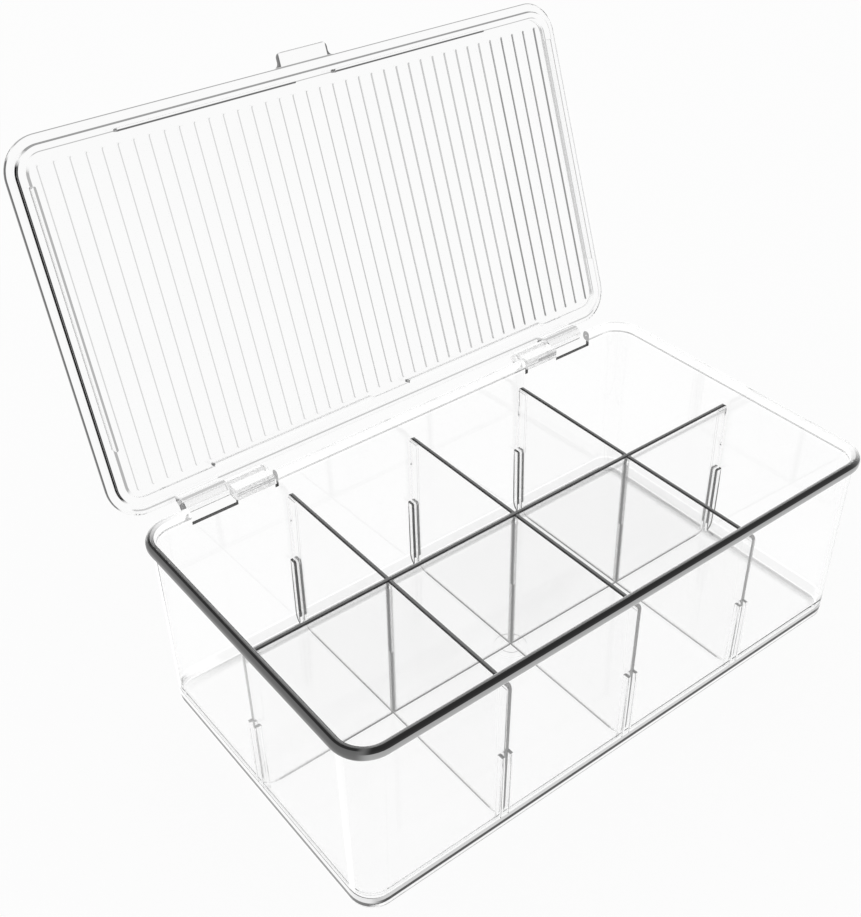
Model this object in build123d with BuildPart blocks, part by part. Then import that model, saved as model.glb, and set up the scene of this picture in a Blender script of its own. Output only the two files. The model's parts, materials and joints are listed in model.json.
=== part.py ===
"""Compartment storage box: a clear bin, a hinged ribbed lid and four lift-out dividers.

Millimetres, +Z up. The origin is the centre of the flat underside of the bin, +X runs along the
long side and the hinges are on the +Y side. The lid is drawn shut and then turned open.
"""
import os
from math import radians, tan

from build123d import *

# Bin
rim_length = 290.6
rim_width = 163.8
box_height = 94.0
wall_thickness = 2.0
floor_thickness = 2.4
wall_draft = 1.4
rim_roll = 2.3
rim_depth = 5.3
rim_edge_flat = 0.1
rim_crest_flat = 0.2
rim_corner = 15.5
floor_fillet = 7.0
bottom_edge_round = 0.8

# Ring left by the moulding gate under the floor
gate_ring_outer = 8.8
gate_ring_inner = 5.4
gate_ring_depth = 0.3

# Dividers
divider_pitch = 70.0
cross_divider_count = 3
divider_below_rim = 12.2
divider_thickness = 2.0
divider_wall_clearance = 1.2
divider_top_corner = 2.5
divider_edge_round = 0.85
divider_corner_relief = 1.0
slot_level = 38.0
slot_clearance = 0.35
pad_width = 4.6
pad_raise = 0.2

# Guide ribs on the walls of the bin
guide_height = 40.2
guide_reach = 3.4
guide_thickness = 1.6
guide_clearance = 0.25
guide_corner = 1.2
guide_edge_round = 0.5

# Hinges, each in a notch of the rear rim
hinge_behind_rim = 5.1
hinge_below_rim = 3.6
pin_radius = 1.5
pin_head_radius = 2.4
pin_head_thickness = 1.4
pin_head_clearance = 0.4
hinge_running_clearance = 0.08
bin_knuckle_radius = 3.0
bin_knuckle_length = 19.5
bin_knuckle_front_round = 1.9
lid_knuckle_radius = 4.0
lid_knuckle_length = 21.7
knuckle_gap = 0.8
notch_from_end = 26.2
notch_depth = 7.6

# Lid, shut
lid_side_overhang = 1.9
lid_front_overhang = 0.8
lid_rear_overhang = 3.9
lid_corner = 16.3
lid_seat_gap = 0.1
lid_flange_thickness = 2.0
lid_edge_round = 0.6
panel_inset = 4.3
panel_step = 2.0
recess_inset = 8.2
recess_depth = 2.0
strip_clearance = 1.2
strip_thickness = 1.6
strip_height = 4.0
strip_from_middle = 10.6
long_strip_from_end = 46.9
side_strip_from_front = 18.9
side_strip_from_rear = 29.4
flute_pitch = 7.2
flute_crest_width = 1.1
flute_height = 0.7
flute_side_angle = 40.0
flute_side_margin = 8.9
flute_end_margin = 8.45
tab_width = 26.4
tab_reach = 6.6
tab_thickness = 1.6
tab_corner = 2.5
lid_open_angle = 109.7

# How far ribs and knuckles root in the wall that carries them, and cuts run past it
root_overlap = 1.0

# Sizes that follow from those above
rim_outer_round = min(rim_roll, rim_depth / 2) - rim_edge_flat
rim_inner_round = rim_roll + wall_thickness - rim_outer_round - rim_crest_flat
draft_slope = tan(radians(wall_draft))
top_length = rim_length - 2 * rim_roll
top_width = rim_width - 2 * rim_roll
top_corner = rim_corner - rim_roll
base_length = top_length - 2 * box_height * draft_slope
base_width = top_width - 2 * box_height * draft_slope
base_corner = top_corner - box_height * draft_slope
cross_positions = [divider_pitch * (i - (cross_divider_count - 1) / 2) for i in range(cross_divider_count)]
divider_top = box_height - divider_below_rim
divider_bottom_corner = floor_fillet + divider_corner_relief
guide_top = floor_thickness + guide_height
guide_offset = divider_thickness / 2 + guide_clearance
slot_width = divider_thickness + 2 * slot_clearance
hinge_y = rim_width / 2 + hinge_behind_rim
hinge_z = box_height - hinge_below_rim
notch_floor = box_height - notch_depth
notch_outer = rim_length / 2 - notch_from_end
lid_knuckle_outer = notch_outer - knuckle_gap
lid_knuckle_inner = lid_knuckle_outer - lid_knuckle_length
bin_knuckle_outer = lid_knuckle_inner - knuckle_gap
bin_knuckle_inner = bin_knuckle_outer - bin_knuckle_length
notch_inner = bin_knuckle_inner - pin_head_thickness - pin_head_clearance
lid_seat = box_height + lid_seat_gap
flange_underside = lid_seat + panel_step
lid_top = flange_underside + lid_flange_thickness
lid_front_edge = -rim_width / 2 - lid_front_overhang
lid_rear_edge = rim_width / 2 + lid_rear_overhang
lid_length = rim_length + 2 * lid_side_overhang
lid_width = lid_rear_edge - lid_front_edge
lid_centre_y = (lid_front_edge + lid_rear_edge) / 2
panel_length = lid_length - 2 * panel_inset
panel_width = lid_width - 2 * panel_inset
flute_length = panel_width - 2 * flute_end_margin
flute_count = 1 + int((panel_length - 2 * flute_side_margin) / flute_pitch)


def inner_half_length(height):
    """Half the inside length of the bin at a height above its underside."""
    return top_length / 2 - wall_thickness - (box_height - height) * draft_slope


def inner_half_width(height):
    """Half the inside width of the bin at a height above its underside."""
    return top_width / 2 - wall_thickness - (box_height - height) * draft_slope


def guide_outline(inner_half):
    """Outlines of two facing guide ribs, which lean with the walls and reach in from them."""
    low = inner_half(floor_thickness)
    high = inner_half(guide_top)
    root = low + root_overlap
    with BuildSketch() as outline:
        with BuildLine():
            Polyline(
                (root, floor_thickness - root_overlap),
                (low - guide_reach, floor_thickness - root_overlap),
                (high - guide_reach, guide_top),
                (root, guide_top),
                close=True,
            )
        make_face()
        fillet(outline.vertices().group_by(Axis.Y)[-1].sort_by(Axis.X)[0], radius=guide_corner)
        mirror(about=Plane.YZ)
    return outline.sketch


def make_guides():
    """Guide ribs with rounded edges, a pair for each end of every divider."""
    cross_guides = guide_outline(inner_half_width)
    lengthwise_guides = guide_outline(inner_half_length)
    with BuildPart() as guides:
        for centre in cross_positions:
            for start in (centre + guide_offset, centre - guide_offset - guide_thickness):
                with BuildSketch(Plane.YZ.offset(start)):
                    add(cross_guides)
                extrude(amount=guide_thickness)
        for start in (guide_offset, -guide_offset - guide_thickness):
            with BuildSketch(Plane.XZ.offset(start)):
                add(lengthwise_guides)
            extrude(amount=guide_thickness)
        for rib in guides.solids():
            across = Axis.X if rib.bounding_box().size.X < rib.bounding_box().size.Y else Axis.Y
            fillet(rib.faces().filter_by(across).edges(), radius=guide_edge_round)
    return guides.part


def make_bin():
    """Open-topped bin with a rolled rim, guide ribs for the dividers and two hinge knuckles."""
    guides = make_guides()
    with BuildPart() as bin_box:
        with BuildSketch(Plane.XY):
            RectangleRounded(base_length, base_width, base_corner)
        extrude(amount=box_height, taper=-wall_draft)

        # Rolled rim
        with BuildSketch(Plane.XY.offset(box_height - rim_depth)):
            RectangleRounded(rim_length, rim_width, rim_corner)
        rim = extrude(amount=rim_depth)
        rim_loops = rim.edges().group_by(Axis.Z)
        fillet(rim_loops[0] + rim_loops[-1], radius=rim_outer_round)
        fillet(bin_box.faces().sort_by(Axis.Z)[0].edges(), radius=bottom_edge_round)

        # Hollow inside
        with BuildSketch(Plane.XY.offset(floor_thickness)):
            RectangleRounded(
                2 * inner_half_length(floor_thickness),
                2 * inner_half_width(floor_thickness),
                base_corner + floor_thickness * draft_slope - wall_thickness,
            )
        extrude(amount=box_height - floor_thickness, taper=-wall_draft, mode=Mode.SUBTRACT)
        floor_loop = bin_box.edges().filter_by_position(Axis.Z, floor_thickness, floor_thickness)
        fillet(floor_loop, radius=floor_fillet)
        rim_inner_loop = bin_box.faces().sort_by(Axis.Z)[-1].inner_wires()[0].edges()
        fillet(rim_inner_loop, radius=rim_inner_round)

        add(guides)

        # Notch in the rear rim at each hinge, and the knuckle standing in it
        wall_inner = inner_half_width(notch_floor)
        knuckle_top = hinge_z + bin_knuckle_radius
        for side in (-1, 1):
            with Locations((side * (notch_inner + notch_outer) / 2, rim_width / 2, notch_floor)):
                Box(
                    notch_outer - notch_inner,
                    2 * (rim_roll + wall_thickness + root_overlap),
                    notch_depth + root_overlap,
                    align=(Align.CENTER, Align.CENTER, Align.MIN),
                    mode=Mode.SUBTRACT,
                )
            knuckle_start = min(side * bin_knuckle_inner, side * bin_knuckle_outer)
            with BuildSketch(Plane.YZ.offset(knuckle_start)):
                with BuildLine():
                    Polyline(
                        (wall_inner, notch_floor),
                        (wall_inner + wall_thickness, notch_floor),
                        (wall_inner + wall_thickness, hinge_z - bin_knuckle_radius),
                        (hinge_y, hinge_z - bin_knuckle_radius),
                        (hinge_y, knuckle_top),
                        (wall_inner, knuckle_top),
                        close=True,
                    )
                block = make_face()
                front_top = block.vertices().sort_by_distance((wall_inner, knuckle_top))[0]
                fillet(front_top, radius=bin_knuckle_front_round)
                with Locations((hinge_y, hinge_z)):
                    Circle(bin_knuckle_radius)
                    Circle(pin_radius, mode=Mode.SUBTRACT)
            extrude(amount=bin_knuckle_length)

        # Gate ring pressed into the underside
        with BuildSketch(Plane.XY):
            Circle(gate_ring_outer)
            Circle(gate_ring_inner, mode=Mode.SUBTRACT)
        extrude(amount=gate_ring_depth, mode=Mode.SUBTRACT)
    return bin_box.part


def make_lid():
    """Lid drawn shut: flange, raised panel with flutes, locating strips, tab and knuckles."""
    with BuildPart() as lid:
        # Flange and lift tab
        with BuildSketch(Plane.XY.offset(flange_underside)):
            with Locations((0, lid_centre_y)):
                RectangleRounded(lid_length, lid_width, lid_corner)
        extrude(amount=lid_flange_thickness)
        fillet(lid.faces().filter_by(Axis.Z).edges(), radius=lid_edge_round)
        tab_root = tab_width / 2 + 2 * tab_corner
        with BuildSketch(Plane.XY.offset(lid_top - tab_thickness)):
            with BuildLine():
                Polyline(
                    (-tab_root, lid_front_edge),
                    (-tab_width / 2, lid_front_edge),
                    (-tab_width / 2, lid_front_edge - tab_reach),
                    (tab_width / 2, lid_front_edge - tab_reach),
                    (tab_width / 2, lid_front_edge),
                    (tab_root, lid_front_edge),
                    (tab_root, lid_front_edge + panel_inset),
                    (-tab_root, lid_front_edge + panel_inset),
                    close=True,
                )
            tab = make_face()
            outer_corners = tab.vertices().group_by(Axis.Y)[0]
            root_corners = tab.vertices().group_by(Axis.Y)[1].sort_by(Axis.X)[1:3]
            fillet(outer_corners + root_corners, radius=tab_corner)
        extrude(amount=tab_thickness)

        # Panel, raised on the inside and recessed on the outside
        with BuildSketch(Plane.XY.offset(lid_seat)):
            with Locations((0, lid_centre_y)):
                RectangleRounded(panel_length, panel_width, lid_corner - panel_inset)
        extrude(amount=panel_step)
        with BuildSketch(Plane.XY.offset(lid_top - recess_depth)):
            with Locations((0, lid_centre_y)):
                RectangleRounded(
                    lid_length - 2 * recess_inset, lid_width - 2 * recess_inset, lid_corner - recess_inset
                )
        extrude(amount=recess_depth, mode=Mode.SUBTRACT)

        # Flutes on the inside of the panel
        with BuildSketch(Plane.XY.offset(lid_seat - flute_height)):
            with Locations((0, lid_centre_y)):
                with GridLocations(flute_pitch, 1, flute_count, 1):
                    SlotOverall(flute_length, flute_crest_width, rotation=90)
        extrude(amount=flute_height, taper=-flute_side_angle)

        # Strips that drop inside the rim and locate the lid
        strip_x = inner_half_length(box_height) - strip_clearance
        strip_y = inner_half_width(box_height) - strip_clearance
        long_strip_end = rim_length / 2 - long_strip_from_end
        long_strip_middle = (strip_from_middle + long_strip_end) / 2
        side_strip_length = rim_width - side_strip_from_front - side_strip_from_rear
        side_strip_middle = (side_strip_from_front - side_strip_from_rear) / 2
        with BuildSketch(Plane.XY.offset(lid_seat - strip_height)):
            for side_x in (-1, 1):
                for side_y in (-1, 1):
                    with Locations((side_x * long_strip_middle, side_y * (strip_y - strip_thickness / 2))):
                        SlotOverall(long_strip_end - strip_from_middle, strip_thickness)
                with Locations((side_x * (strip_x - strip_thickness / 2), side_strip_middle)):
                    SlotOverall(side_strip_length, strip_thickness, rotation=90)
        extrude(amount=strip_height)

        # Knuckles under the rear edge
        for side in (-1, 1):
            knuckle_start = min(side * lid_knuckle_inner, side * lid_knuckle_outer)
            with BuildSketch(Plane.YZ.offset(knuckle_start)):
                with BuildLine():
                    Polyline(
                        (hinge_y - lid_knuckle_radius, hinge_z),
                        (hinge_y - lid_knuckle_radius, flange_underside + lid_edge_round),
                        (lid_rear_edge - lid_edge_round, flange_underside + lid_edge_round),
                        (hinge_y + lid_knuckle_radius, hinge_z),
                        close=True,
                    )
                make_face()
                with Locations((hinge_y, hinge_z)):
                    Circle(lid_knuckle_radius)
                    Circle(pin_radius + hinge_running_clearance, mode=Mode.SUBTRACT)
            extrude(amount=lid_knuckle_length)
    hinge_axis = Axis((0, hinge_y, hinge_z), (1, 0, 0))
    return lid.part.rotate(hinge_axis, -lid_open_angle)


def make_pin(side):
    """Hinge pin with a small head at its inner end, held by the bin and running in the lid."""
    with BuildPart() as pin:
        start = min(side * bin_knuckle_inner, side * lid_knuckle_outer)
        with BuildSketch(Plane.YZ.offset(start)):
            with Locations((hinge_y, hinge_z)):
                Circle(pin_radius)
        extrude(amount=lid_knuckle_outer - bin_knuckle_inner)
        head_near = bin_knuckle_inner - pin_head_thickness
        head_start = min(side * head_near, side * bin_knuckle_inner)
        with BuildSketch(Plane.YZ.offset(head_start)):
            with Locations((hinge_y, hinge_z)):
                Circle(pin_head_radius)
        extrude(amount=pin_head_thickness)
    return pin.part


def divider_outline(inner_half):
    """Upright outline of a divider: ends that lean with the walls and rounded corners."""
    low = inner_half(floor_thickness) - divider_wall_clearance
    high = inner_half(divider_top) - divider_wall_clearance
    with BuildSketch() as outline:
        with BuildLine():
            Polyline(
                (-low, floor_thickness),
                (low, floor_thickness),
                (high, divider_top),
                (-high, divider_top),
                close=True,
            )
        make_face()
        fillet(outline.vertices().group_by(Axis.Y)[0], radius=divider_bottom_corner)
        fillet(outline.vertices().group_by(Axis.Y)[-1], radius=divider_top_corner)
    return outline.sketch


def divider_section():
    """Cross-section of a divider plate, with both edges rounded along its top."""
    with BuildSketch() as section:
        with Locations((0, divider_top / 2)):
            Rectangle(divider_thickness, divider_top)
        fillet(section.vertices().group_by(Axis.Y)[-1], radius=divider_edge_round)
    return section.sketch


def pad_outline(inner_half):
    """The two end strips above the guide ribs, where a divider is slightly thicker."""
    inner_edge = inner_half(guide_top) - divider_wall_clearance - pad_width
    pad_foot = guide_top + slot_clearance
    pad_top = divider_top - divider_top_corner
    with BuildSketch() as outline:
        add(divider_outline(inner_half))
        with Locations((0, (pad_foot + pad_top) / 2)):
            Rectangle(rim_length, pad_top - pad_foot, mode=Mode.INTERSECT)
        with Locations((0, divider_top / 2)):
            Rectangle(2 * inner_edge, divider_top + root_overlap, mode=Mode.SUBTRACT)
    return outline.sketch


def make_cross_divider(position):
    """Divider across the bin, slotted from its top edge down to mid height."""
    plate = divider_outline(inner_half_width)
    pads = pad_outline(inner_half_width)
    slot_foot = floor_thickness + slot_level
    slot_length = divider_top - slot_foot + root_overlap
    with BuildPart() as cross:
        with BuildSketch(Plane.XZ.shift_origin((position, 0, 0))):
            add(divider_section())
        extrude(amount=rim_width / 2, both=True)
        with BuildSketch(Plane.YZ.offset(position - divider_thickness / 2)):
            add(plate)
            with Locations((0, slot_foot + slot_length / 2)):
                Rectangle(slot_width, slot_length, mode=Mode.SUBTRACT)
        extrude(amount=divider_thickness, mode=Mode.INTERSECT)
        with BuildSketch(Plane.YZ.offset(position - divider_thickness / 2 - pad_raise)):
            add(pads)
        extrude(amount=divider_thickness + 2 * pad_raise)
    return cross.part


def make_lengthwise_divider():
    """Divider along the bin, slotted from its bottom edge over each cross divider."""
    plate = divider_outline(inner_half_length)
    pads = pad_outline(inner_half_length)
    slot_top = floor_thickness + slot_level + slot_clearance
    with BuildPart() as lengthwise:
        with BuildSketch(Plane.YZ):
            add(divider_section())
        extrude(amount=rim_length / 2, both=True)
        with BuildSketch(Plane.XZ.offset(-divider_thickness / 2)):
            add(plate)
            with Locations(*[(position, slot_top / 2) for position in cross_positions]):
                Rectangle(slot_width, slot_top, mode=Mode.SUBTRACT)
        extrude(amount=divider_thickness, mode=Mode.INTERSECT)
        with BuildSketch(Plane.XZ.offset(-divider_thickness / 2 - pad_raise)):
            add(pads)
        extrude(amount=divider_thickness + 2 * pad_raise)
    return lengthwise.part


cross_names = ["cross_divider_left", "cross_divider_middle", "cross_divider_right"]
pieces = {
    "bin": make_bin(),
    "lid": make_lid(),
    "hinge_pin_left": make_pin(-1),
    "hinge_pin_right": make_pin(1),
    "lengthwise_divider": make_lengthwise_divider(),
}
for cross_name, position in zip(cross_names, cross_positions):
    pieces[cross_name] = make_cross_divider(position)

os.makedirs("parts", exist_ok=True)
for piece_name, piece in pieces.items():
    piece.label = piece_name
    export_step(piece, f"parts/{piece_name}.step")
    print(piece_name, "volume", round(piece.volume / 1000, 2), "cm3")
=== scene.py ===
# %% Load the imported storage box
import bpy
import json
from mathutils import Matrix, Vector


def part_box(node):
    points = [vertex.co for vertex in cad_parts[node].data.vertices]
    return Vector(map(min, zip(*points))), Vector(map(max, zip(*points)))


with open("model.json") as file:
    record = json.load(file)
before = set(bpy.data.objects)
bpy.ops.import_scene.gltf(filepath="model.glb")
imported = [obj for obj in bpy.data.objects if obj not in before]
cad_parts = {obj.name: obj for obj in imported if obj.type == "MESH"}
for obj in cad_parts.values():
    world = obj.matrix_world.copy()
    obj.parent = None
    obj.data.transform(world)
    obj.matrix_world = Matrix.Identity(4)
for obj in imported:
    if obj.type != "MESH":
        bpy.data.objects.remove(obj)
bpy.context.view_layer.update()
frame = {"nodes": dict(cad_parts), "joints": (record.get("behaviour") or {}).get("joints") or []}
for name in sorted(frame["nodes"]):
    low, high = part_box(name)
    print(name, "size in mm", [round(1000 * (b - a), 1) for a, b in zip(low, high)])

# %% [markdown]
# The object is a clear moulded storage box: a bin, a hinged lid, two hinge pins and four dividers.
# Its eight pieces come from the imported model, so every shape and place is already right. What
# is left to do here is the light, the camera and, above all, the finish, much of it painted light
# and painted shade. Clear plastic has almost no colour of its own. It shows itself by its edges,
# so the scene is built around those, and their lines are painted light and painted shade.

# %% Tools used in every step
import json
import math

import bpy
from mathutils import Quaternion, Vector

MM = 0.001
FLOAT, VECTOR = "NodeSocketFloat", "NodeSocketVector"


def add(tree, kind, entries=None, **settings):
    """Adds a shader node. Settings are its properties. Entries are its inputs by name or place."""
    made = tree.nodes.new(kind)
    for name, value in settings.items():
        setattr(made, name, value)
    for place, value in (entries or {}).items():
        feed(tree, made.inputs[place], value)
    return made


def feed(tree, entry, value):
    """Gives an input a plain value, or links it to an output."""
    if isinstance(value, bpy.types.NodeSocket):
        tree.links.new(value, entry)
    else:
        entry.default_value = value


def calculate(tree, operation, *values):
    """The result of a Math node."""
    return add(tree, "ShaderNodeMath", dict(enumerate(values)), operation=operation).outputs[0]


def new_group(name, entries, results):
    """An empty shader node group with named inputs (name, type, value) and outputs (name, type)."""
    group = bpy.data.node_groups.new(name, "ShaderNodeTree")
    for label, kind, value in entries:
        socket = group.interface.new_socket(label, in_out="INPUT", socket_type=kind)
        socket.default_value = value
    for label, kind in results:
        group.interface.new_socket(label, in_out="OUTPUT", socket_type=kind)
    return group, group.nodes.new("NodeGroupInput").outputs, group.nodes.new("NodeGroupOutput").inputs


print("tools ready")

# %% [markdown]
# The camera stands in front of the left corner of the box and looks down at about 34 degrees.
# Its place was found by fitting the projected rim, floor and lid edges of the model to the picture.
# Heading is measured from +Y towards +X, and a small roll levels the verticals as in the picture.
# The two shifts only place the box in the frame, as a view camera's rising front does.

# %% Camera at the viewing angle of the picture
camera_place = Vector((-308.74, -339.96, 449.09)) * MM
heading = math.radians(37.198)
look_down = math.radians(33.618)
roll = math.radians(-1.02)

camera_data = bpy.data.cameras.new("camera")
camera = bpy.data.objects.new("camera", camera_data)
bpy.context.scene.collection.objects.link(camera)
camera.location = camera_place
level_look = Vector((math.sin(heading), math.cos(heading), 0)) * math.cos(look_down)
look = level_look - Vector((0, 0, math.sin(look_down)))
camera.rotation_euler = (look.to_track_quat("-Z", "Y") @ Quaternion((0, 0, 1), roll)).to_euler()
camera_data.lens = 51.467
camera_data.shift_x = 0.00915
camera_data.shift_y = -0.06786
bpy.context.scene.camera = camera
print("camera looks along", [round(part, 3) for part in look])

# %% [markdown]
# Clear plastic is lit by what surrounds it. In a white studio sweep the faces vanish into the
# white, and the edges turn dark where they gather light from high up, where the studio is darker.
# One world with a soft gradient does both: white round the horizon, a little grey overhead.
# Lamps would add hard highlights that this soft picture doesn't have.

# %% Studio light from the world
horizon_brightness = 1.0
overhead_brightness = 0.6
gradient_start = 0.15
gradient_end = 0.8

world = bpy.data.worlds.new("studio")
bpy.context.scene.world = world
world.use_nodes = True
sky = world.node_tree
direction = add(sky, "ShaderNodeTexCoord")
height = add(sky, "ShaderNodeSeparateXYZ", {0: direction.outputs["Generated"]})
fade = add(sky, "ShaderNodeMapRange", {
    "Value": height.outputs["Z"], "From Min": gradient_start, "From Max": gradient_end,
    "To Min": horizon_brightness, "To Max": overhead_brightness,
})
feed(sky, sky.nodes["Background"].inputs["Color"], fade.outputs["Result"])
sky.nodes["Background"].inputs["Strength"].default_value = 1.0
bpy.context.scene.view_settings.view_transform = "Standard"
print("world fades from", horizon_brightness, "to", overhead_brightness)

# %% [markdown]
# The box stands on a white sheet that fills the picture. A lit white sheet is never quite white
# in a render, so the camera, and the rays that pass through the plastic, see mostly a plain white
# glow instead. A share of real diffuse white stays in the mix and keeps the soft contact shadow.

# %% White floor that keeps the shadow
floor_size = 20.0
floor_gap = 0.2 * MM
glow_seen_directly = 0.93
glow_seen_through = 0.97

bpy.ops.mesh.primitive_plane_add(size=floor_size, location=(0, 0, -floor_gap))
floor = bpy.context.object
floor.name = "floor"
paper = bpy.data.materials.new("white_paper")
paper.use_nodes = True
tree = paper.node_tree
sheet = tree.nodes["Principled BSDF"]
sheet.inputs["Base Color"].default_value = (1, 1, 1, 1)
sheet.inputs["Roughness"].default_value = 1.0
sheet.inputs["Specular IOR Level"].default_value = 0.0
rays = add(tree, "ShaderNodeLightPath").outputs
direct = calculate(tree, "MAXIMUM", rays["Is Camera Ray"], rays["Is Glossy Ray"])
direct_share = calculate(tree, "MULTIPLY", direct, glow_seen_directly)
through_share = calculate(tree, "MULTIPLY", rays["Is Transmission Ray"], glow_seen_through)
glow_share = calculate(tree, "MAXIMUM", direct_share, through_share)
glow = add(tree, "ShaderNodeEmission", {"Strength": 1.0})
mix = add(tree, "ShaderNodeMixShader", {0: glow_share, 1: sheet.outputs[0], 2: glow.outputs[0]})
feed(tree, tree.nodes["Material Output"].inputs["Surface"], mix.outputs[0])
floor.data.materials.append(paper)
print("floor", floor_size, "m wide")

# %% [markdown]
# Some effects are shared by all the clear pieces, so each is a node group built once.
# The first is the plastic itself: moulded faces are a touch wavy, because the melt flows in and
# shrinks unevenly. The same group gives a painted glow, a very weak light that varies by place
# and lifts the darkest edges to grey, standing in for light scattered in the mass. The waves go
# to a Bump node, and the painted glow goes to the emission.

# %% Group for the moulded plastic and its painted glow
plastic, given, result = new_group(
    "moulded_waves_and_painted_glow",
    [("Painted Glow", FLOAT, 0.01), ("Wave Scale", FLOAT, 40.0), ("Streak Scale", FLOAT, 160.0)],
    [("Painted Glow Amount", FLOAT), ("Wave Height", FLOAT)],
)
place = add(plastic, "ShaderNodeTexCoord").outputs["Object"]
waves = add(plastic, "ShaderNodeTexNoise", {"Vector": place, "Scale": given["Wave Scale"], "Detail": 2.0})
streaks = add(plastic, "ShaderNodeTexNoise", {"Vector": place, "Scale": given["Streak Scale"], "Detail": 3.0})
small_streaks = calculate(plastic, "MULTIPLY", streaks.outputs[0], 0.15)
feed(plastic, result["Wave Height"], calculate(plastic, "ADD", waves.outputs[0], small_streaks))
# Painted glow: a weak light that varies by place, standing in for light scattered in the mass
patches = add(plastic, "ShaderNodeMapRange", {
    "Value": waves.outputs[0], "From Min": 0.3, "From Max": 0.7, "To Min": 0.8, "To Max": 1.2,
})
feed(plastic, result["Painted Glow Amount"], calculate(plastic, "MULTIPLY", patches.outputs[0], given["Painted Glow"]))
print("group", plastic.name, "has", len(plastic.nodes), "nodes")

# %% [markdown]
# The second shared effect is a mask: 1 where a value lies between two limits, with soft borders.
# Fed with a height it marks a band of the rim or of the foot, and fed with a part of the normal
# it marks the faces that look one way. Nearly every line in the picture is such a band.

# %% Group for a band with soft borders
band_group, given, result = new_group(
    "soft_band",
    [("Value", FLOAT, 0.0), ("Low", FLOAT, 0.0), ("High", FLOAT, 1.0), ("Softness", FLOAT, 0.1)],
    [("Mask", FLOAT)],
)
ramps = []
for limit in ("Low", "High"):
    past = calculate(band_group, "SUBTRACT", given["Value"], given[limit])
    blurred = calculate(band_group, "DIVIDE", past, given["Softness"])
    ramp = add(band_group, "ShaderNodeMapRange", {"Value": blurred, "From Min": -0.5, "From Max": 0.5})
    ramp.interpolation_type = "SMOOTHSTEP"
    ramps.append(ramp.outputs["Result"])
feed(band_group, result["Mask"], calculate(band_group, "SUBTRACT", *ramps))
print("group", band_group.name, "has", len(band_group.nodes), "nodes")

# %% [markdown]
# The third shared effect gives the place in millimetres and the normal of a point, as parts.
# The lid's marks are easiest to place on the shut lid, where its sides lie along the axes, so the
# group can turn both about the hinge axis first. They are read in the piece's own coordinates,
# so the marks stay where they are when a piece moves.

# %% Group for place and facing
place_group, given, result = new_group(
    "place_and_facing",
    [("Turn", FLOAT, 0.0), ("Centre", VECTOR, (0, 0, 0))],
    [("X", FLOAT), ("Y", FLOAT), ("Z", FLOAT), ("Facing X", FLOAT), ("Facing Y", FLOAT), ("Facing Z", FLOAT)],
)
own = add(place_group, "ShaderNodeTexCoord").outputs
turned_place = add(place_group, "ShaderNodeVectorRotate", {
    "Vector": own["Object"], "Center": given["Centre"], "Angle": given["Turn"],
}, rotation_type="X_AXIS")
turned_normal = add(place_group, "ShaderNodeVectorRotate", {
    "Vector": own["Normal"], "Angle": given["Turn"],
}, rotation_type="X_AXIS")
in_mm = add(place_group, "ShaderNodeVectorMath", {
    0: turned_place.outputs[0], "Scale": 1000.0,
}, operation="SCALE")
place_parts = add(place_group, "ShaderNodeSeparateXYZ", {0: in_mm.outputs[0]}).outputs
facing_parts = add(place_group, "ShaderNodeSeparateXYZ", {0: turned_normal.outputs[0]}).outputs
for part in ("X", "Y", "Z"):
    feed(place_group, result[part], place_parts[part])
    feed(place_group, result["Facing " + part], facing_parts[part])
print("group", place_group.name, "has", len(place_group.nodes), "nodes")

# %% [markdown]
# Three painted lines run round the lid, each at its own distance from the edge: the outline, the
# step up to the panel and the wall of the recess behind it. So the fourth shared effect measures
# that distance for a rectangle with round corners. It also tells how far a point belongs to the
# short sides rather than the long ones, because the painted lines fade out in the corners.

# %% Group for the distance from a rounded outline
inset_group, given, result = new_group(
    "inset_from_outline",
    [
        ("X", FLOAT, 0.0), ("Y", FLOAT, 0.0),
        ("Half X", FLOAT, 1.0), ("Half Y", FLOAT, 1.0), ("Corner", FLOAT, 0.1),
    ],
    [("Inset", FLOAT), ("Short Side", FLOAT)],
)
beyond = []
for axis in ("X", "Y"):
    straight = calculate(inset_group, "SUBTRACT", given["Half " + axis], given["Corner"])
    distance = calculate(inset_group, "ABSOLUTE", given[axis])
    beyond.append(calculate(inset_group, "SUBTRACT", distance, straight))
positive = [calculate(inset_group, "MAXIMUM", part, 0.0) for part in beyond]
squares = [calculate(inset_group, "POWER", part, 2.0) for part in positive]
round_part = calculate(inset_group, "SQRT", calculate(inset_group, "ADD", *squares))
flat_part = calculate(inset_group, "MINIMUM", calculate(inset_group, "MAXIMUM", *beyond), 0.0)
reach = calculate(inset_group, "ADD", round_part, flat_part)
feed(inset_group, result["Inset"], calculate(inset_group, "SUBTRACT", given["Corner"], reach))
feed(inset_group, result["Short Side"], calculate(inset_group, "SUBTRACT", *beyond))
print("group", inset_group.name, "has", len(inset_group.nodes), "nodes")

# %% [markdown]
# All pieces are the same clear plastic: full transmission, a refraction close to polystyrene's and
# polished faces. A little less clearness greys the broad faces of the lid and the dividers. On top
# of that each piece gets a few layers of painted light and painted shade. A layer has a mask, a
# tint that dims what shines through, which is painted shade, and a glow that lifts it to grey,
# which is painted light. Layers count only where a face is seen from outside, so light inside the
# plastic stays untouched.

# %% Clear plastic with layers
plastic_ior = 1.49
plastic_clearness = 0.985
wave_strength = 0.03
wave_distance = 0.2 * MM
plastic_painted_glow = 0.008


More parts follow.
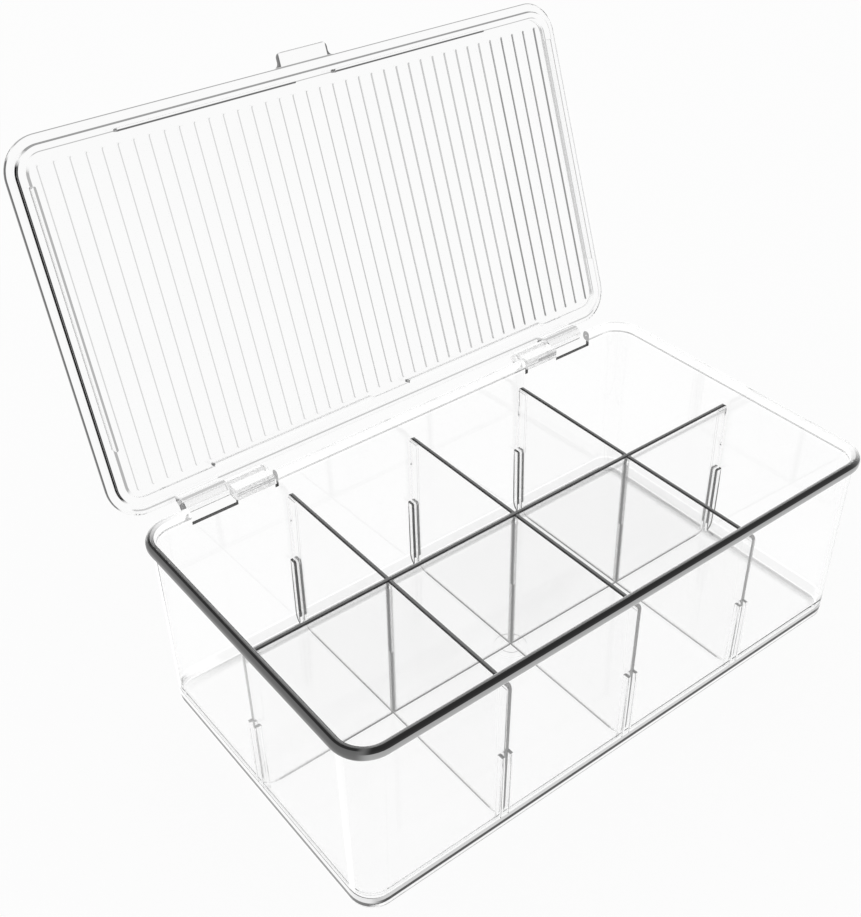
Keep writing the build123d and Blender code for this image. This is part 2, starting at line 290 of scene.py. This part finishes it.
class ClearPlastic:
    """A clear plastic material that takes layers of painted shade (tint) and painted light (glow), each
    within a mask.
    """

    def __init__(self, name, turn=0.0, centre=(0, 0, 0), painted_glow=plastic_painted_glow, clearness=plastic_clearness):
        self.material = bpy.data.materials.new(name)
        self.material.use_nodes = True
        self.material.cycles.emission_sampling = "NONE"
        self.tree = self.material.node_tree
        self.shader = self.tree.nodes["Principled BSDF"]
        self.shader.inputs["Transmission Weight"].default_value = 1.0
        self.shader.inputs["IOR"].default_value = plastic_ior
        self.shader.inputs["Roughness"].default_value = 0.0
        self.shader.inputs["Emission Strength"].default_value = 1.0
        self.waves_and_glow = add(self.tree, "ShaderNodeGroup", node_tree=plastic)
        self.waves_and_glow.inputs["Painted Glow"].default_value = painted_glow
        self.at = add(self.tree, "ShaderNodeGroup", node_tree=place_group)
        self.at.inputs["Turn"].default_value = turn
        self.at.inputs["Centre"].default_value = centre
        backfacing = add(self.tree, "ShaderNodeNewGeometry").outputs["Backfacing"]
        self.outside = calculate(self.tree, "SUBTRACT", 1.0, backfacing)
        self.tint_and_shade = clearness
        # The layers' glow starts from the weak painted glow of the plastic group
        self.glow = self.waves_and_glow.outputs["Painted Glow Amount"]

    def value(self, part, sign=1.0, absolute=False):
        """A part of the place or the normal, mirrored by the sign or with its sign dropped."""
        out = self.at.outputs[part]
        if absolute:
            return calculate(self.tree, "ABSOLUTE", out)
        return out if sign == 1.0 else calculate(self.tree, "MULTIPLY", out, sign)

    def band(self, value, low, high, softness):
        """A mask that is 1 where the value lies between the limits."""
        entries = {"Value": value, "Low": low, "High": high, "Softness": softness}
        made = add(self.tree, "ShaderNodeGroup", node_tree=band_group)
        for label, given_value in entries.items():
            feed(self.tree, made.inputs[label], given_value)
        return made.outputs["Mask"]

    def both(self, *masks):
        """The product of masks."""
        product = masks[0]
        for mask in masks[1:]:
            product = calculate(self.tree, "MULTIPLY", product, mask)
        return product

    def layer(self, mask, tint_and_shade, glow):
        """Lays a painted shade (a tint) and a painted light (a glow) over what is there, as far as the mask
        allows.
        """
        mask = self.both(mask, self.outside)
        blend = {0: mask, 2: self.tint_and_shade, 3: tint_and_shade}
        self.tint_and_shade = add(self.tree, "ShaderNodeMix", blend, data_type="FLOAT").outputs[0]
        blend = {0: mask, 2: self.glow, 3: glow}
        self.glow = add(self.tree, "ShaderNodeMix", blend, data_type="FLOAT").outputs[0]

    def finish(self, *names):
        """Links the layers to the shader and dresses the named pieces."""
        # Base Color carries the clearness and the painted shade, Emission Color the painted light
        for entry, amount in (("Base Color", self.tint_and_shade), ("Emission Color", self.glow)):
            grey = add(self.tree, "ShaderNodeCombineColor", {0: amount, 1: amount, 2: amount})
            feed(self.tree, self.shader.inputs[entry], grey.outputs[0])
        bump = add(self.tree, "ShaderNodeBump", {
            "Strength": wave_strength, "Distance": wave_distance, "Height": self.waves_and_glow.outputs["Wave Height"],
        })
        feed(self.tree, self.shader.inputs["Normal"], bump.outputs[0])
        for name in names:
            for material_slot in frame["nodes"][name].material_slots:
                material_slot.material = self.material
        print(self.material.name, "dresses", ", ".join(names))


# %% [markdown]
# Every line in the picture belongs to one side of the box, so the bin starts with masks that tell
# the sides apart: near or far from the picture's camera, front or short side, and whether a face
# looks out of the box or into it. They come from place and normal alone, so they stay with the bin.

# %% Masks for the sides of the bin
NO_LIMIT = 9999.0

bin_low, bin_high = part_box("bin")
half_length = 1000 * bin_high.x
half_width = -1000 * bin_low.y
rim_top = 1000 * bin_high.z
floor_top = 2.4

bin_plastic = ClearPlastic("bin_plastic")
tree = bin_plastic.tree
up = bin_plastic.value("Facing Z")
x = bin_plastic.value("X")
y = bin_plastic.value("Y")
z = bin_plastic.value("Z")
share_x = calculate(tree, "DIVIDE", x, -half_length)
share_y = calculate(tree, "DIVIDE", y, -half_width)
near = bin_plastic.band(calculate(tree, "ADD", share_x, share_y), 0.0, NO_LIMIT, softness=0.25)
far = calculate(tree, "SUBTRACT", 1.0, near)
front = bin_plastic.band(calculate(tree, "SUBTRACT", share_y, share_x), 0.0, NO_LIMIT, softness=0.08)
side = calculate(tree, "SUBTRACT", 1.0, front)
outward_x = calculate(tree, "MULTIPLY", bin_plastic.value("Facing X"), x)
outward_y = calculate(tree, "MULTIPLY", bin_plastic.value("Facing Y"), y)
outward = bin_plastic.band(calculate(tree, "ADD", outward_x, outward_y), 0.0, NO_LIMIT, softness=2.0)
inward = calculate(tree, "SUBTRACT", 1.0, outward)
print("bin", round(2 * half_length, 1), "by", round(2 * half_width, 1), "mm, rim at", round(rim_top, 1), "mm")

# %% [markdown]
# The rim is a round bead, which works as a lens, and its look is laid on in layers of painted light
# and painted shade. On the far sides it is painted a light grey. On the near sides the camera looks
# down on it: painted black on the crest, a painted shade for what the bead reflects, a painted grey
# line on the inner slope, and below the crest another painted grey, for the light it gathers from
# the white sheet. The normal's upward part tells where on the round of the bead a point lies.

# %% Rim of the bin
rim_depth = 5.3
rim_overlap = 0.2
slope_softness = 0.06

at_rim = bin_plastic.band(z, rim_top - rim_depth - rim_overlap, NO_LIMIT, softness=0.1)
rim_layers = [
    # sides, lowest and highest upward part of the normal, tint (painted shade), glow (painted light)
    ((far,), -NO_LIMIT, NO_LIMIT, 0.5, 0.32),
    ((near, outward), -NO_LIMIT, NO_LIMIT, 0.0, 0.10),
    ((near, outward, side), 0.88, NO_LIMIT, 0.0, 0.0),
    ((near, outward, front), -NO_LIMIT, NO_LIMIT, 0.0, 0.33),
    ((near, outward, front), 0.46, NO_LIMIT, 0.0, 0.0),
    ((near, inward, side), 0.93, NO_LIMIT, 0.0, 0.13),
    ((near, inward, side), 0.75, 0.93, 0.0, 0.02),
    ((near, inward, front), 0.5, NO_LIMIT, 0.1, 0.17),
]
for sides, lowest, highest, tint_and_shade, glow in rim_layers:
    slope = bin_plastic.band(up, lowest, highest, softness=slope_softness)
    bin_plastic.layer(bin_plastic.both(at_rim, slope, *sides), tint_and_shade=tint_and_shade, glow=glow)
print("rim has", len(rim_layers), "layers")

# %% [markdown]
# Inside, a round fillet joins the floor to the walls. Far from the camera it is painted as one soft
# grey line of painted shade where it runs into the floor, and the rest of it is painted white. Near
# the camera it is seen through the wall, and a light painted shade dims it a little.

# %% Fillet round the floor
floor_fillet = 7.0
fillet_start = 0.3

fillet_height = bin_plastic.band(z, floor_top + fillet_start, floor_top + floor_fillet, softness=1.5)
fillet = bin_plastic.both(inward, fillet_height)
fillet_layers = [
    # side, lowest and highest upward part of the normal, softness, tint (painted shade), glow (painted light)
    (far, 0.1, 0.74, 0.1, 0.0, 0.88),
    (far, 0.74, 0.985, 0.06, 0.2, 0.22),
    (near, 0.15, 0.97, 0.2, 0.7, 0.15),
]
for place, lowest, highest, softness, tint_and_shade, glow in fillet_layers:
    slope = bin_plastic.band(up, lowest, highest, softness=softness)
    bin_plastic.layer(bin_plastic.both(fillet, slope, place), tint_and_shade=tint_and_shade, glow=glow)
print("fillet lies between", floor_top, "and", floor_top + floor_fillet, "mm")

# %% [markdown]
# The foot of the near walls is a stack of fine lines: grey, dark, light and grey again from the
# top down. On the real box they come from the thick floor, seen edge on through the wall. Here
# they are painted as bands of painted light and painted shade, placed by height above the
# underside. The short side is painted lighter than the front.

# %% Foot of the near walls
foot_softness = 0.5

wall = bin_plastic.both(outward, near, bin_plastic.band(up, -0.99, 0.6, softness=0.02))
foot_bands = [
    # side, lowest and highest height, glow (painted light and shade)
    (front, 4.5, 6.9, 0.55),
    (front, 2.6, 4.6, 0.0),
    (front, 1.2, 2.7, 0.82),
    (front, -1.0, 1.2, 0.35),
    (side, 3.2, 6.5, 0.74),
    (side, 1.2, 3.4, 0.12),
    (side, 0.5, 1.3, 0.72),
    (side, -1.0, 0.6, 0.5),
]
for place, lowest, highest, glow in foot_bands:
    height_mask = bin_plastic.band(z, lowest, highest, softness=foot_softness)
    bin_plastic.layer(bin_plastic.both(height_mask, wall, place), tint_and_shade=0.0, glow=glow)
print("foot has", len(foot_bands), "bands")

# %% [markdown]
# The guide ribs stand in pairs, with a divider between them. The tip of each rib on the rear and
# right walls is painted as a dark upright line of painted shade. Tips are found by how far they
# stand into the box.

# %% Tips of the guide ribs
guide_top = 42.4
guide_foot_clearance = 6.0
rear_tips_from, rear_tips_to = 71.0, 73.5
right_tips_from, right_tips_to = 134.4, 136.9
rear_guides_reach = 80.0
right_guides_reach = 10.0

guide_zone = bin_plastic.band(z, floor_top + guide_foot_clearance, guide_top, softness=0.4)
rear_tips = bin_plastic.both(
    bin_plastic.band(y, rear_tips_from, rear_tips_to, softness=0.3),
    bin_plastic.band(bin_plastic.value("Facing Y", -1.0), 0.5, NO_LIMIT, softness=0.3),
    bin_plastic.band(bin_plastic.value("X", absolute=True), -1.0, rear_guides_reach, softness=1.0),
)
right_tips = bin_plastic.both(
    bin_plastic.band(x, right_tips_from, right_tips_to, softness=0.3),
    bin_plastic.band(bin_plastic.value("Facing X", -1.0), 0.5, NO_LIMIT, softness=0.3),
    bin_plastic.band(bin_plastic.value("Y", absolute=True), -1.0, right_guides_reach, softness=1.0),
)
bin_plastic.layer(bin_plastic.both(guide_zone, rear_tips), tint_and_shade=0.0, glow=0.07)
bin_plastic.layer(bin_plastic.both(guide_zone, right_tips), tint_and_shade=0.0, glow=0.12)
print("guide tips are dark up to", guide_top, "mm")

# %% [markdown]
# Where the flat left wall turns into the round front corner, the refraction draws a hairline from
# rim to foot. The real box shows none there, so a narrow strip of the corner is painted white.

# %% Front corner of the bin
corner_margin = 0.6
corner_facing_from, corner_facing_to = -0.9965, -0.955

corner_top = rim_top - rim_depth - corner_margin
corner_zone = bin_plastic.band(z, floor_top + guide_foot_clearance, corner_top, softness=0.4)
facing_x = bin_plastic.value("Facing X")
corner_start = bin_plastic.band(facing_x, corner_facing_from, corner_facing_to, softness=0.002)
bin_plastic.layer(bin_plastic.both(corner_zone, corner_start, outward, near), tint_and_shade=0.0, glow=0.88)
bin_plastic.finish("bin")

# %% [markdown]
# The dividers are thin flat plates. Their broad faces are almost unseen, and their narrow faces are
# painted dark. Along the top two painted lines lie side by side, a dark one on the rounded edge
# towards the camera and a grey one beside it. A second soft line of painted shade runs just below
# the top of the lengthwise plate. The slots where plates cross are painted grey, and the foot is
# painted as a soft grey shadow line on the floor.

# %% Dividers
divider_low, divider_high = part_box("cross_divider_middle")
divider_foot = 1000 * divider_low.z
divider_top = 1000 * divider_high.z
divider_clearness = 0.955
top_line_depth = 0.9
second_line_depth = 4.3
second_line_width = 2.0
foot_line_height = 2.0
foot_shade_height = 4.0
end_edges_from = 40.0
crossing_half_width = 2.2


def divider_plastic(name, across, along, crossings, second_line_shade, *pieces):
    """Clear plastic for plates whose broad faces look along one axis."""
    plate = ClearPlastic(name, clearness=divider_clearness)
    height = plate.value("Z")
    foot_shade = plate.band(height, -NO_LIMIT, divider_foot + foot_shade_height, softness=5.0)
    plate.layer(foot_shade, tint_and_shade=0.88, glow=0.05)
    foot_line = plate.band(height, -NO_LIMIT, divider_foot + foot_line_height, softness=1.0)
    plate.layer(foot_line, tint_and_shade=0.5, glow=0.14)
    narrow = plate.band(plate.value("Facing " + across, absolute=True), -1.0, 0.9, softness=0.1)
    plate.layer(narrow, tint_and_shade=0.5, glow=0.04)
    end_edges = plate.both(
        plate.band(plate.value("Facing " + along, absolute=True), 0.35, 0.8, softness=0.2),
        plate.band(height, end_edges_from, NO_LIMIT, softness=1.0),
    )
    plate.layer(end_edges, tint_and_shade=0.1, glow=0.28)
    for crossing in crossings:
        low, high = crossing - crossing_half_width, crossing + crossing_half_width
        slot = plate.band(plate.value(along), low, high, softness=0.4)
        plate.layer(slot, tint_and_shade=0.1, glow=0.16)
    second_line_foot = divider_top - second_line_depth
    second_line = plate.band(height, second_line_foot, second_line_foot + second_line_width, softness=1.4)
    plate.layer(second_line, tint_and_shade=second_line_shade, glow=0.01)
    top_line = plate.band(height, divider_top - top_line_depth, NO_LIMIT, softness=0.2)
    plate.layer(top_line, tint_and_shade=0.1, glow=0.13)
    to_camera = plate.band(plate.value("Facing " + across, -1.0), 0.55, NO_LIMIT, softness=0.2)
    plate.layer(plate.both(top_line, to_camera), tint_and_shade=0.0, glow=0.01)
    plate.finish(*pieces)


cross_names = ["cross_divider_left", "cross_divider_middle", "cross_divider_right"]
cross_places = [500 * (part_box(name)[0].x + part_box(name)[1].x) for name in cross_names]
divider_plastic("cross_divider_plastic", "X", "Y", [0.0], 0.95, *cross_names)
divider_plastic("lengthwise_divider_plastic", "Y", "X", cross_places, 0.5, "lengthwise_divider")

# %% [markdown]
# The pins are plain polished rods in the same plastic. They sit inside the knuckles, and only
# their heads show, so they need no more than a light grey on the flat ends, painted as a little
# shade and glow.

# %% Hinge pins
pin_plastic = ClearPlastic("pin_plastic")
flat_end = pin_plastic.band(pin_plastic.value("Facing X", absolute=True), 0.7, NO_LIMIT, softness=0.2)
pin_plastic.layer(flat_end, tint_and_shade=0.8, glow=0.05)
pin_plastic.finish("hinge_pin_left", "hinge_pin_right")

# %% [markdown]
# The lid's marks are placed on the shut lid, turned back about the hinge. There, the distance from
# the rounded outline tells the rings apart, and four masks tell the four sides apart. The lid
# isn't centred on the bin, as it reaches further back, to the hinge.

# %% Masks for the sides of the lid
lid_joint = next(joint for joint in frame["joints"] if joint["name"] == "lid_hinge")
open_angle = math.radians(-lid_joint["range_deg"][0])
hinge_centre = tuple(lid_joint["pos_m"])
lid_half_length = 1000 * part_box("lid")[1].x
lid_front, lid_rear = -82.7, 85.8
lid_corner = 16.3
lid_clearness = 0.955
corner_fade_middle = 3.0
corner_fade_width = 5.0

lid_plastic = ClearPlastic("lid_plastic", open_angle, hinge_centre, clearness=lid_clearness)
tree = lid_plastic.tree
x = lid_plastic.value("X")
y = lid_plastic.value("Y")
z = lid_plastic.value("Z")
from_middle = lid_plastic.value("X", absolute=True)
outline = add(tree, "ShaderNodeGroup", {
    "X": x, "Y": calculate(tree, "SUBTRACT", y, (lid_front + lid_rear) / 2),
    "Half X": lid_half_length, "Half Y": (lid_rear - lid_front) / 2, "Corner": lid_corner,
}, node_tree=inset_group).outputs
inset, short_side = outline["Inset"], outline["Short Side"]
long_side = calculate(tree, "MULTIPLY", short_side, -1.0)
on_short = lid_plastic.band(short_side, corner_fade_middle, NO_LIMIT, softness=corner_fade_width)
on_long = lid_plastic.band(long_side, corner_fade_middle, NO_LIMIT, softness=corner_fade_width)
at_left = lid_plastic.both(on_short, lid_plastic.band(x, -NO_LIMIT, 0.0, softness=1.0))
at_right = lid_plastic.both(on_short, lid_plastic.band(x, 0.0, NO_LIMIT, softness=1.0))
at_front = lid_plastic.both(on_long, lid_plastic.band(y, -NO_LIMIT, 0.0, softness=1.0))
at_hinges = lid_plastic.both(on_long, lid_plastic.band(y, 0.0, NO_LIMIT, softness=1.0))
print("lid opens to", round(math.degrees(open_angle), 1), "degrees about", hinge_centre)

# %% [markdown]
# The flutes are low ribs on the inside of the panel. Each one is painted as a single thin grey
# line, on the flank that looks left. The painted lines get stronger towards the right, so there the
# whole flank is painted grey, and towards the left only the part next to the panel is, in a
# lighter grey.

# %% Flutes of the lid
seat_height = 94.1
whole_flank_depth = 0.75
upper_flank_depth = 0.45

left_facing = lid_plastic.band(lid_plastic.value("Facing X"), -NO_LIMIT, -0.4, softness=0.2)
whole_height = lid_plastic.band(z, seat_height - whole_flank_depth, seat_height, softness=0.02)
upper_height = lid_plastic.band(z, seat_height - upper_flank_depth, seat_height, softness=0.02)
towards_right = lid_plastic.band(x, 20.0, NO_LIMIT, softness=50.0)
towards_left = lid_plastic.band(x, -NO_LIMIT, -20.0, softness=60.0)
lid_plastic.layer(lid_plastic.both(whole_height, left_facing, towards_right), tint_and_shade=0.1, glow=0.28)
lid_plastic.layer(lid_plastic.both(upper_height, left_facing), tint_and_shade=0.1, glow=0.24)
lid_plastic.layer(lid_plastic.both(upper_height, left_facing, towards_left), tint_and_shade=0.1, glow=0.36)
print("flute marks reach", whole_flank_depth, "mm below the seat height of", seat_height, "mm")

# %% [markdown]
# The rings are the outline, the step of the raised panel and the wall of the recess. On the shut
# lid they are upright walls, so the open lid turns them towards the camera, and there they are
# painted as thin lines. The painted line on the left, at the step, is nearly black, and the ones
# on the right are light. The strip and the tab are painted grey as well.

# %% Rings, strip and tab of the lid
ring_softness = 0.25
strip_from, strip_to = 10.6, 98.4
strip_inset = 6.9
strip_line_width = 0.8
tab_half_width = 13.2
tab_reach = 6.6
tab_start = 0.3
tab_end_line_width = 0.5
tab_side_line_width = 0.8

rings = [
    # nearest and farthest inset, side, glow
    (-0.3, 0.55, at_left, 0.12),
    (-0.3, 0.45, at_front, 0.36),
    (-0.3, 0.55, at_right, 0.40),
    (3.9, 4.75, at_left, 0.0),
    (3.95, 4.7, at_front, 0.25),
    (4.0, 4.6, at_right, 0.50),
    (1.9, 2.8, at_hinges, 0.55),
    (7.9, 9.3, at_left, 0.42),
    (7.1, 7.6, at_front, 0.45),
    (8.1, 8.7, at_right, 0.42),
]
for nearest, farthest, place, glow in rings:
    ring = lid_plastic.band(inset, nearest, farthest, softness=ring_softness)
    lid_plastic.layer(lid_plastic.both(ring, place), tint_and_shade=0.0, glow=glow)

strip_span = lid_plastic.band(from_middle, strip_from, strip_to, softness=0.5)
strip_line = lid_plastic.band(inset, strip_inset, strip_inset + strip_line_width, softness=ring_softness)
lid_plastic.layer(lid_plastic.both(strip_line, strip_span, at_front), tint_and_shade=0.0, glow=0.10)

on_tab = lid_plastic.band(y, -NO_LIMIT, lid_front - tab_start, softness=0.2)
tab_end = lid_plastic.band(y, -NO_LIMIT, lid_front - tab_reach + tab_end_line_width, softness=0.2)
tab_side = lid_plastic.band(from_middle, tab_half_width - tab_side_line_width, NO_LIMIT, softness=0.3)
lid_plastic.layer(lid_plastic.both(on_tab, tab_end), tint_and_shade=0.0, glow=0.50)
lid_plastic.layer(lid_plastic.both(on_tab, tab_side), tint_and_shade=0.0, glow=0.14)
lid_plastic.finish("lid")
